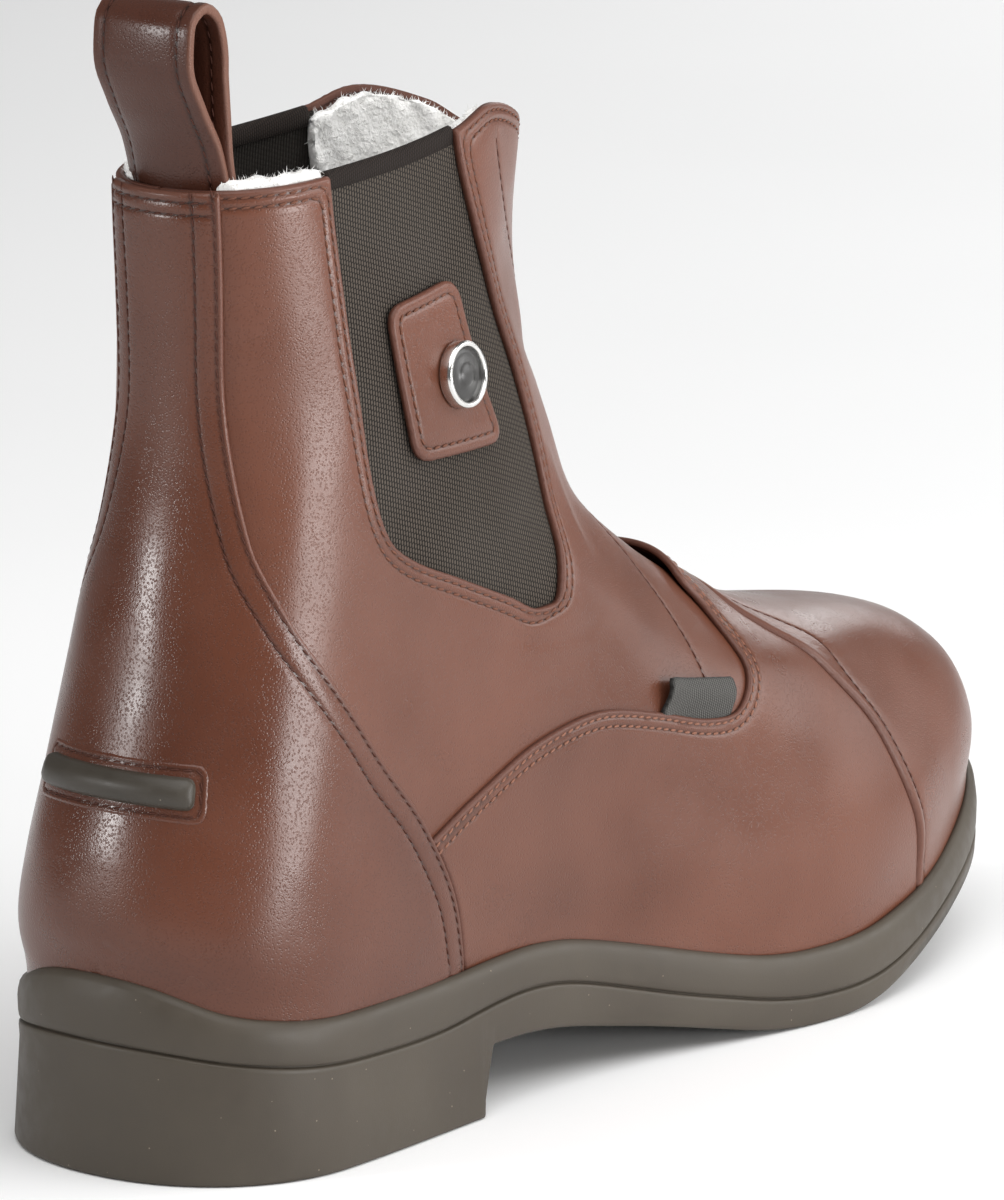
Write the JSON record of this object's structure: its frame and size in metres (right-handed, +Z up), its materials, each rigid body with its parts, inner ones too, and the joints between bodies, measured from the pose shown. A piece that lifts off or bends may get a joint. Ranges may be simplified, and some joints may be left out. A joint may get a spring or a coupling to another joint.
{
  "type": "jodhpur boot",
  "caption": "Brown leather ankle riding boot with elastic side gores, toe cap, backstay with spur rest, pull loop and a moulded rubber sole with a low heel.",
  "frame": {"origin": "on the floor under the middle of the sole's box", "axes": "+X from heel to toe, +Y to the inner (medial) side, +Z up"},
  "size_m": [0.2872, 0.0952, 0.2366],
  "materials": {
    "sole_rubber": "satin taupe-grey moulded rubber",
    "insole_felt": "off-white fleece",
    "brown_leather": "smooth red-brown leather with a waxed gloss",
    "gore_elastic": "dark grey-brown ribbed elastic",
    "badge_metal": "polished",
    "woven_tape": "grey twill tape",
    "spur_rubber": "dark rubber"
  },
  "bodies": {
    "root": {"outsole": "sole_rubber", "insole": "insole_felt", "upper": "brown_leather", "vamp": "brown_leather", "toe_cap": "brown_leather", "backstay": "brown_leather", "gore_lateral": "gore_elastic", "gore_medial": "gore_elastic", "gore_patch": "brown_leather", "badge": "badge_metal", "label_tab": "woven_tape", "spur_surround": "brown_leather", "spur_rest": "spur_rubber", "pull_loop": "brown_leather"}
  },
  "joints": []
}
